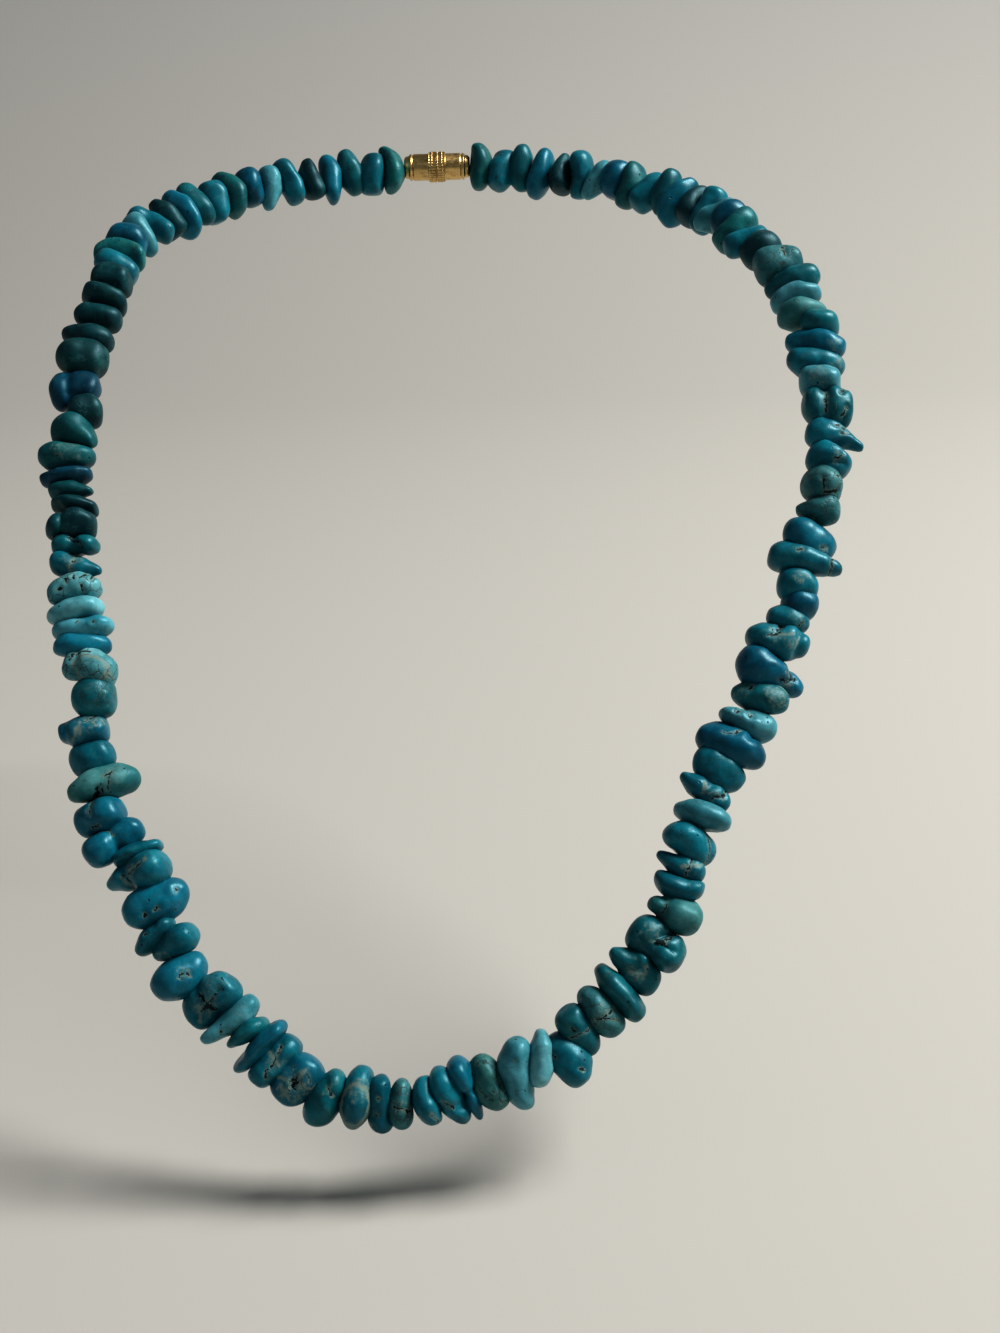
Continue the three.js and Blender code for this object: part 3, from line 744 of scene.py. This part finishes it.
     ("crack", 0.4, 0, 40, 0.12, 1.6), ("crack", 0.55, 0.3, 90, 0.08, 1), ("patch", 0.3, 0, 0.14, 0.7),
     ("vein", -0.2, 0, 100, 0.1, 0.7), ("crease", -0.1, 0, 80, 0.14, 1.2)),
    ("oval", 17, -0.03, 0.96, 1.25, -10, "midBlue"),
    ("oval", 18.05, 0, 1.25, 1.25, -2, "deepBlue",
     ("crack", 0.02, 0.6, 60, 0.05, 1.2), ("crack", -0.2, 0.3, 20, 0.08, 0.5),
     ("crease", 0.45, 0.9, 90, 0.12, 1.4)),
    ("drop", 19.15, 0.1, 1.05, 1, 7, "paleTeal",
     ("crack", -0.65, 0.3, 40, 0.02, 1.3), ("crack", -0.2, 0.35, 60, 0.03, 1.1),
     ("crack", -0.35, 0.8, 0, 0.06, 1)),
    ("oval", 20.3, 0.15, 1, 1, 9, "tealBlue",
     ("crack", -0.35, 0.3, 60, 0.04, 1.1), ("patch", 0.6, 0.1, 0.26, 0.8),
     ("patch", -0.55, 0, 0.18, 0.7)),
    ("taper", 21.4, 0.13, 1.25, 1.35, 4, "deepBlue",
     ("crack", 0.42, -0.3, 20, 0.14, 2), ("crack", 0.5, 0.1, 100, 0.12, 1.6),
     ("patch", 0.48, -0.1, 0.2, 0.8), ("lobe", 0.85, -0.5, 0.16, 0.12)),
    ("oval", 22.6, 0.05, 1.1, 1.25, 10, "midBlue",
     ("crack", -0.05, 0.4, 65, 0.14, 2.4), ("crack", -0.15, 0, 20, 0.08, 1.3),
     ("patch", -0.15, 0.3, 0.2, 0.7), ("crease", 0.72, 0, 90, 0.2, 1.8), ("patch", 0.5, -0.2, 0.14, 0.7),
     ("vein", 0.68, 0, 90, 0.12, 0.8), ("vein", 0.1, 0.1, 20, 0.2, 0.9)),
    ("oval", 23.6, 0.08, 0.75, 0.9, 7, "midBlue",
     ("patch", 0.35, 0, 0.18, 0.7), ("crack", 0.5, -0.3, 40, 0.06, 0.6)),
    ("round", 24.35, 0.18, 0.6, 1.15, 10, "deepBlue"),
    ("round", 25.05, 0.02, 0.72, 1.15, 10, "midBlue", ("patch", 0.1, 0.2, 0.14, 0.7)),
    ("taper", 26.05, 0.02, 1.35, 1.1, 7, "midBlue",
     ("crack", 0.7, 0, 90, 0.2, 0.9), ("crack", -0.2, 0.3, 30, 0.04, 0.8)),
    ("oval", 26.95, 0.02, 0.98, 1.3, -12, "brightBlue",
     ("crack", 0.45, -0.3, 40, 0.05, 1.2), ("patch", 0.45, -0.3, 0.12, 0.7)),
    ("drop", 28.2, 0.05, 0.8, 1.05, 15, "greyWeb"),
    ("round", 29.25, 0.04, 0.68, 1.3, 5, "greyWeb",
     ("crack", -0.4, -0.3, 110, 0.12, 1.5), ("crack", 0.1, -0.6, 20, 0.1, 1.2),
     ("crack", 0.4, 0.3, 30, 0.08, 0.8), ("lobe", -0.1, 0.1, 0.2, 0.06)),
    ("oval", 30.3, 0.1, 0.8, 1.25, -15, "midBlue",
     ("crack", 0.4, 0, 70, 0.08, 1.6), ("crease", 0.3, -0.3, 20, 0.2, 1.6), ("patch", 0.4, 0, 0.14, 0.7)),
    ("fang", 31.4, 0.15, 1.1, 1.05, -5, "midBlue",
     ("crack", 0.1, 0.5, 0, 0.1, 0.9), ("crack", 0.3, 0.1, 40, 0.08, 0.9)),
    ("block", 32.7, 0, 0.9, 1.5, 0, "tealBlue",
     ("crack", -0.2, 0, 90, 0.3, 0.5), ("crease", -0.2, 0, 90, 0.3, 2),
     ("crack", 0.5, 0.5, 60, 0.06, 1.3), ("crack", 0.6, -0.6, 60, 0.08, 1.3)),
    ("round", 33.85, -0.1, 0.75, 1.15, -5, "paleTeal", ("patch", 0, 0, 0.2, 0.7)),
    ("oval", 34.75, -0.12, 1.05, 1.05, -15, "midBlue", ("patch", 0.7, -0.3, 0.2, 0.7)),
    ("oval", 35.65, -0.05, 1.1, 1.1, -26, "brightBlue", ("patch", 0.75, -0.4, 0.14, 0.7)),
    ("round", 36.5, 0.14, 0.72, 1.05, -15, "tealBlue"),
    ("oval", 37.25, -0.08, 0.9, 1.05, -6, "matteGreen"),
    ("oval", 38.15, -0.05, 0.95, 1, -10, "paleTeal"),
    ("oval", 39, 0.05, 1.05, 1.05, -13, "tealBlue"),
    ("block", 40.2, 0.07, 0.9, 1.3, -15, "greyWeb", ("crack", 0.2, 0, 90, 0.12, 1)),
    ("round", 41.5, 0.03, 0.78, 1.2, -12, "darkTeal"),
]

hiddenRun = [  # form, out, span, thickness, lean, stone: used over and over along the back
    ("oval", 0.04, 0.98, 1, 6, "tealBlue"), ("block", -0.05, 0.88, 1.05, -8, "midBlue"),
    ("bend", 0, 1.02, 0.95, 4, "greenTeal"), ("round", 0.06, 0.8, 1.1, 0, "deepBlue"),
    ("drop", -0.04, 0.95, 1, -12, "paleTeal"), ("waist", 0.03, 1.05, 1, 8, "midBlue"),
    ("taper", 0, 0.9, 1.05, 10, "darkTeal"), ("oval", -0.06, 1.08, 0.9, -5, "brightBlue"),
]


def hiddenRows(side):
    s = stringSet
    last = max(abs(row[1]) for row in beadChart if row[1] * side > 0)
    claspEnd = s["claspLength"] / 2 + s["gap"] + s["beadPitch"] / 2
    claspPlace = loopLength - meetingPlace if side > 0 else meetingPlace
    end = (claspPlace - claspEnd) / s["beadPitch"]
    count = max(1, math.floor(end - last + 0.5))
    rows = []
    for index in range(1, count + 1):
        form, out, span, thick, lean, stone = hiddenRun[index % len(hiddenRun)]
        place = last + (end - last) * index / count
        rows.append((form, place * side, out, span, thick, lean, stone))
    return rows


def seatMatrix(place, out, lean):
    s = stringSet
    swing = math.radians(s["swing"]) * math.sin(s["swingRate"] * place)
    turn = Matrix.Rotation(swing, 4, "X") @ Matrix.Rotation(-math.radians(lean), 4, "Z")
    shift = Matrix.Translation((0, out * s["beadSpan"], 0))
    return stringFrame(meetingPlace + place * s["beadPitch"]) @ shift @ turn


def applyModifier(piece, kind, **settings):
    modifier = piece.modifiers.new(kind.lower(), kind)
    for key, value in settings.items():
        setattr(modifier, key, value)
    bpy.ops.object.modifier_apply(modifier=modifier.name)


def writeGroup(piece, name, weights):
    group = piece.vertex_groups.new(name=name)
    for index in np.nonzero(weights > nuggetSet["leastWeight"])[0]:
        group.add([int(index)], float(weights[index]), "REPLACE")


def readPoints(mesh):
    points = np.zeros(len(mesh.vertices) * 3)
    mesh.vertices.foreach_get("co", points)
    return points.reshape(-1, 3)


def markPlace(mark, points, size):
    # offsets of the points from a mark, out of the string and along it
    return points[:, 1] - mark[1] * size[1] / 2, points[:, 0] - mark[2] * size[0] / 2


markPulls = {  # how hard each mark draws the surface in, and how far it reaches
    "crack": (0.8, "crackReach"), "crease": (1.4, "creaseReach"), "vein": (0.1, "crackReach"),
    "ring": (0.5, "crackReach"), "band": (0.2, "crackReach"),
}
farAway = 9.0  # past the reach of every mark, in any unit


def lineMark(mark, points, size):
    # distances of the points beyond the ends of a mark's line, across it and to it, and its weight
    out, along = markPlace(mark, points, size)
    span = stringSet["beadSpan"]
    if mark[0] in ("ring", "band"):
        oval = nuggetSet["ringShare"]
        across = np.hypot(out * oval, along) - mark[3] * span * oval
        return np.full(len(points), -mm), across, np.abs(across), mark[4]
    turn = math.radians(mark[3])
    beyond = np.abs(out * math.cos(turn) + along * math.sin(turn)) - mark[4] * span
    across = along * math.cos(turn) - out * math.sin(turn)
    return beyond, across, np.hypot(np.maximum(beyond, 0), across), mark[5]


def layMarks(piece, marks, size):
    # writes a nugget's marks as attributes, and dents and swells it at them;
    # cracks take turns in two attributes, and where two meet in one, the nearer shows
    s = nuggetSet
    span = stringSet["beadSpan"]
    points = readPoints(piece.data)
    front = np.clip(s["frontShare"] - s["frontFall"] * points[:, 2] / size[2], 0, 1)
    none = np.zeros(len(points))
    far = none + farAway
    cracks = [np.stack((far, far, none)), np.stack((far, far, none))]
    nearest = [far, far]
    turn = 0
    patchFar, patchWeight, dent, lobe = far, none, none, none
    for mark in marks:
        kind = mark[0]
        if kind in ("patch", "lobe"):
            distance = np.hypot(*markPlace(mark, points, size)) / (mark[3] * span)
            if kind == "patch":
                patchWeight = np.where(distance < patchFar, mark[4] * front, patchWeight)
                patchFar = np.minimum(distance, patchFar)
            else:
                lobe = np.maximum(lobe, front * mark[4] / s["lobeHeight"] * np.exp(-distance ** 2))
            continue
        beyond, across, distance, weight = lineMark(mark, points, size)
        pull, reach = markPulls[kind]
        if kind not in ("ring", "band"):
            pull *= weight  # rings and bands are sunk the same at any weight
        dent = np.maximum(dent, pull * front * np.exp(-(distance / s[reach]) ** 2))
        if kind == "crease":
            continue
        sign = -1 if kind in ("vein", "band") else 1
        fade = np.exp(-(distance / s["crackFade"]) ** 4)
        field = np.stack((beyond / mm, across / mm, sign * weight * front * fade))
        cracks[turn] = np.where(distance < nearest[turn], field, cracks[turn])
        nearest[turn] = np.minimum(distance, nearest[turn])
        turn = 1 - turn
    writeField(piece, "crackA", cracks[0])
    writeField(piece, "crackB", cracks[1])
    writeField(piece, "patch", np.stack((patchFar, none, patchWeight)))
    deepest = s["deepestDent"]
    pushSurface(piece, "dent", dent / deepest, -deepest * s["crackDent"])
    pushSurface(piece, "lobe", lobe, s["lobeHeight"] * span)


def writeField(piece, name, field):
    attribute = piece.data.attributes.new(name, "FLOAT_VECTOR", "POINT")
    attribute.data.foreach_set("vector", field.T.astype(np.float32).ravel())


def pushSurface(piece, name, weights, strength):
    if weights.max() > nuggetSet["leastWeight"]:
        writeGroup(piece, name, np.minimum(weights, 1))
        applyModifier(piece, "DISPLACE", vertex_group=name, mid_level=0, strength=strength)
        piece.vertex_groups.clear()


def makeTexture(name, size):
    texture = bpy.data.textures.new(name, "CLOUDS")
    texture.noise_scale = size
    texture.noise_depth = 1
    return texture


lumpTexture = makeTexture("lumps", nuggetSet["lumpSize"])
rippleTexture = makeTexture("ripples", nuggetSet["rippleSize"])
shades = np.random.default_rng(nuggetSet["shadeSeed"])
shapes = np.random.default_rng(nuggetSet["shapeSeed"])


def shapeCage(mesh, size):
    # no two pebbles alike: a little taper, bow and flattening, and each corner in or out
    s = nuggetSet
    points = readPoints(mesh)
    share = points[:, 1] / (size[1] / 2)
    taper, bow, flat = 2 * shapes.random(3) - 1
    points[:, 0] *= 1 + s["taperSpread"] * taper * share
    points[:, 2] *= 1 + s["flatSpread"] * flat * share
    points[:, (0, 2)] *= 1 + s["dimpleSpread"] * (2 * shapes.random((len(points), 1)) - 1)
    points[:, 0] += s["bowSpread"] * bow * (share ** 2 - s["bowMiddle"]) * size[0] / 2
    mesh.vertices.foreach_set("co", points.ravel())


def makeNugget(name, row, node, smoothing):
    form, place, out, span, thick, lean, stone, *marks = row
    s = stringSet
    deep = s["beadDeep"] * (1 + s["deepShare"] * math.cos(s["deepRate"] * place))
    size = Vector((thick * s["beadCrowding"] * s["beadPitch"], span * s["beadSpan"], deep))
    deselectAll()
    piece = formObjects[form].copy()
    piece.data = piece.data.copy()
    piece.name = name
    piece.data.name = name
    bpy.context.collection.objects.link(piece)
    bpy.context.view_layer.objects.active = piece
    piece.select_set(True)
    piece.data.transform(Matrix.Diagonal((*(size * Vector(nuggetSet["sizeShare"])), 1)))
    shapeCage(piece.data, size)
    applyModifier(piece, "SUBSURF", levels=smoothing, render_levels=smoothing)
    layMarks(piece, marks, size)
    # 0 up to half way out to a tip, 1 at the tip
    tips = np.clip(np.abs(readPoints(piece.data)[:, 1]) / size[1] * 4 - 1, 0, 1)
    writeGroup(piece, "body", 1 - (1 - nuggetSet["tipShare"]) * tips)
    piece.data.transform(seatMatrix(place, out, lean))
    applyModifier(piece, "DISPLACE", texture=lumpTexture, texture_coords="LOCAL", mid_level=0.5,
                  vertex_group="body", strength=nuggetSet["lumpHeight"])
    applyModifier(piece, "DISPLACE", texture=rippleTexture, texture_coords="LOCAL", mid_level=0.5,
                  strength=nuggetSet["rippleHeight"])
    piece.vertex_groups.clear()
    bpy.ops.object.shade_smooth()
    shade = piece.data.attributes.new("shade", "FLOAT", "POINT")
    tone = 1 + nuggetSet["shadeSpread"] * (2 * shades.random() - 1)
    shade.data.foreach_set("value", np.full(len(piece.data.vertices), tone, np.float32))
    piece.data.materials.append(stoneMaterials[stone])
    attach(piece, "root")
    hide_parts(node)


def makeHalf(side, word):
    shown = [row for row in beadChart if row[1] * side > 0]
    behind = hiddenRows(side)
    for rows, part, smoothing in ((shown, "", "smoothing"), (behind, "Back", "smoothingBehind")):
        for index, row in enumerate(rows, 1):
            makeNugget(f"nugget{word}{part}{index:02d}", row, f"bead_string_{word.lower()}",
                       nuggetSet[smoothing])
    print(word.lower(), "half strung:", len(shown), "nuggets shown and", len(behind), "behind")


makeHalf(-1, "Left")
makeHalf(1, "Right")
for form in formObjects.values():
    bpy.data.objects.remove(form)


# Thread: three twisted plies through all the nuggets

threadSet = {
    "plies": 3,
    "plyRadius": 0.16 * mm,
    "twistRadius": 0.17 * mm,
    "twistLength": 2.2 * mm,
    "step": 0.45 * mm,
    "tuck": 1.2 * mm,  # how far it goes into the clasp
    "color": (0.055, 0.09, 0.10, 1),
    "darker": (0.0275, 0.045, 0.05, 1),
    "fibres": (6.0, 3.0),  # cells for each mm, detail
    "fibreRange": (0.35, 0.65),
    "rough": 0.55,
    "bump": 0.4,
    "bumpDepth": 0.05 * mm,
}


def threadMaterial():
    s = threadSet
    material = newMaterial("threadNylon")
    n = Nodes(material)
    fibres = n.noise(n.objectCoordsInMm(), *s["fibres"])
    n.set("Base Color", n.mixColor(n.ramp(fibres, *s["fibreRange"]), s["color"], s["darker"]))
    n.set("Roughness", s["rough"])
    n.bump(fibres, s["bump"], s["bumpDepth"])
    return material


def makeThread(name, start, end, node, material):
    s = threadSet
    deselectAll()
    bpy.ops.curve.primitive_nurbs_path_add(location=(0, 0, 0))
    piece = bpy.context.object
    piece.name = name
    curve = piece.data
    curve.splines.clear()
    curve.bevel_depth = s["plyRadius"]
    curve.bevel_resolution = 1
    curve.use_fill_caps = True
    places = np.linspace(start, end, int(abs(end - start) / s["step"]) + 1)
    frames = [stringFrame(float(place)) for place in places]
    for ply in range(s["plies"]):
        spline = curve.splines.new("POLY")
        spline.points.add(len(places) - 1)
        for point, place, seat in zip(spline.points, places, frames):
            angle = 2 * math.pi * (place / s["twistLength"] + ply / s["plies"])
            side = Vector((0, math.cos(angle), math.sin(angle))) * s["twistRadius"]
            point.co = (*(seat @ side), 1)
    bpy.ops.object.convert(target="MESH")
    piece = bpy.context.object
    bpy.ops.object.shade_smooth()
    piece.data.materials.append(material)
    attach(piece, "root")
    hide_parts(node)


nylon = threadMaterial()
threadStart = stringSet["claspLength"] / 2 - threadSet["tuck"]
makeThread("threadLeft", threadStart, meetingPlace, "bead_string_left", nylon)
makeThread("threadRight", meetingPlace, loopLength - threadStart, "bead_string_right", nylon)
print("thread drawn")


# Clasp: turned barrel with a knurled band, end collars and holes for the thread

claspSet = {
    "sides": 36,
    "radius": 2.6 * mm,
    "holeRadius": 0.7 * mm,
    "holeDepth": 1.6 * mm,
    "knurl": 0.12 * mm,
    "knurlFrom": 1.1,  # radius as a share of the barrel's
    "edge": 0.12 * mm,
    "edgeAngle": 0.6,
    "color": (0.62, 0.42, 0.17, 1),
    "tarnish": (0.20, 0.12, 0.05, 1),
    "stains": (0.9, 5.0, 0.65),
    "stainRange": (0.48, 0.68),
    "stainShare": 0.55,
    "scratches": (2.0, 4.0, 0.6),
    "scratchStretch": (0.6, 9.0, 9.0),
    "scratchRange": (0.3, 0.7),
    "roughRange": (0.18, 0.42),
    "bump": 0.15,
    "bumpDepth": 0.03 * mm,
}

# share of the half length from the middle, and radius as a share of the barrel's
claspHalf = [
    (0.01, 1.06), (0.02, 1.15), (0.15, 1.15), (0.24, 1.12), (0.26, 1.0), (0.70, 1.0), (0.74, 0.9),
    (0.78, 1.0), (0.82, 0.98), (0.86, 0.86), (0.95, 0.82), (1.0, 0.66),
]
claspProfile = [(-place, radius) for place, radius in reversed(claspHalf)] + claspHalf


def claspMaterial():
    s = claspSet
    material = newMaterial("brassPolished")
    n = Nodes(material)
    where = n.objectCoordsInMm()
    stain = n.ramp(n.noise(where, *s["stains"]), *s["stainRange"])
    n.set("Base Color", n.mixColor(n.times(stain, s["stainShare"]), s["color"], s["tarnish"]))
    n.set("Metallic", 1.0)
    scratches = n.noise(n.vector("MULTIPLY", where, s["scratchStretch"]), *s["scratches"])
    n.set("Roughness", n.ramp(scratches, *s["scratchRange"], *s["roughRange"]))
    n.bump(scratches, s["bump"], s["bumpDepth"])
    return material


def selectFaces(piece, rule):
    bpy.ops.object.mode_set(mode="OBJECT")
    for part in (*piece.data.vertices, *piece.data.edges):
        part.select = False
    for face in piece.data.polygons:
        face.select = bool(rule(face.center, face.normal))
    bpy.ops.object.mode_set(mode="EDIT")


def makeClasp():
    s = claspSet
    half = stringSet["claspLength"] / 2
    centre = Vector(routePoints[0]) * mm
    first, radius = claspProfile[0]
    deselectAll()
    bpy.ops.mesh.primitive_circle_add(vertices=s["sides"], radius=s["radius"] * radius, fill_type="NGON",
                                      location=centre + Vector((first * half, 0, 0)),
                                      rotation=(0, math.pi / 2, 0))
    piece = bpy.context.object
    piece.name = "claspBarrel"
    bpy.ops.object.transform_apply(location=True, rotation=True)
    bpy.ops.object.mode_set(mode="EDIT")
    bpy.ops.mesh.select_all(action="SELECT")
    for last, ring in zip(claspProfile, claspProfile[1:]):
        bpy.ops.mesh.extrude_region_move(
            TRANSFORM_OT_translate={"value": ((ring[0] - last[0]) * half, 0, 0)})
        share = ring[1] / last[1]
        bpy.ops.transform.resize(value=(1, share, share),
                                 center_override=centre + Vector((ring[0] * half, 0, 0)))
    bpy.ops.mesh.select_all(action="SELECT")
    bpy.ops.mesh.normals_make_consistent(inside=False)
    bpy.ops.mesh.select_mode(type="FACE")
    for way in (-1, 1):
        end = centre.x + way * half
        selectFaces(piece, lambda c, normal: normal.x * way > 0.9 and abs(c.x - end) < nearly)
        bpy.ops.mesh.inset(thickness=s["radius"] * claspProfile[0][1] - s["holeRadius"])
        bpy.ops.mesh.extrude_region_move(TRANSFORM_OT_translate={"value": (-way * s["holeDepth"], 0, 0)})
    knurled = s["radius"] * s["knurlFrom"]
    selectFaces(piece, lambda c, normal: (c - centre).yz.length > knurled and abs(normal.x) < 0.2)
    bpy.ops.mesh.inset(thickness=s["knurl"] / 2, depth=-s["knurl"], use_individual=True)
    bpy.ops.object.mode_set(mode="OBJECT")
    applyModifier(piece, "BEVEL", width=s["edge"] / 2, segments=2, limit_method="ANGLE",
                  angle_limit=s["edgeAngle"])
    bpy.ops.object.shade_smooth_by_angle(angle=s["edgeAngle"])
    piece.data.materials.append(claspMaterial())
    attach(piece, "root")
    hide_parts("clasp")


makeClasp()
print("clasp turned")

deselectAll()
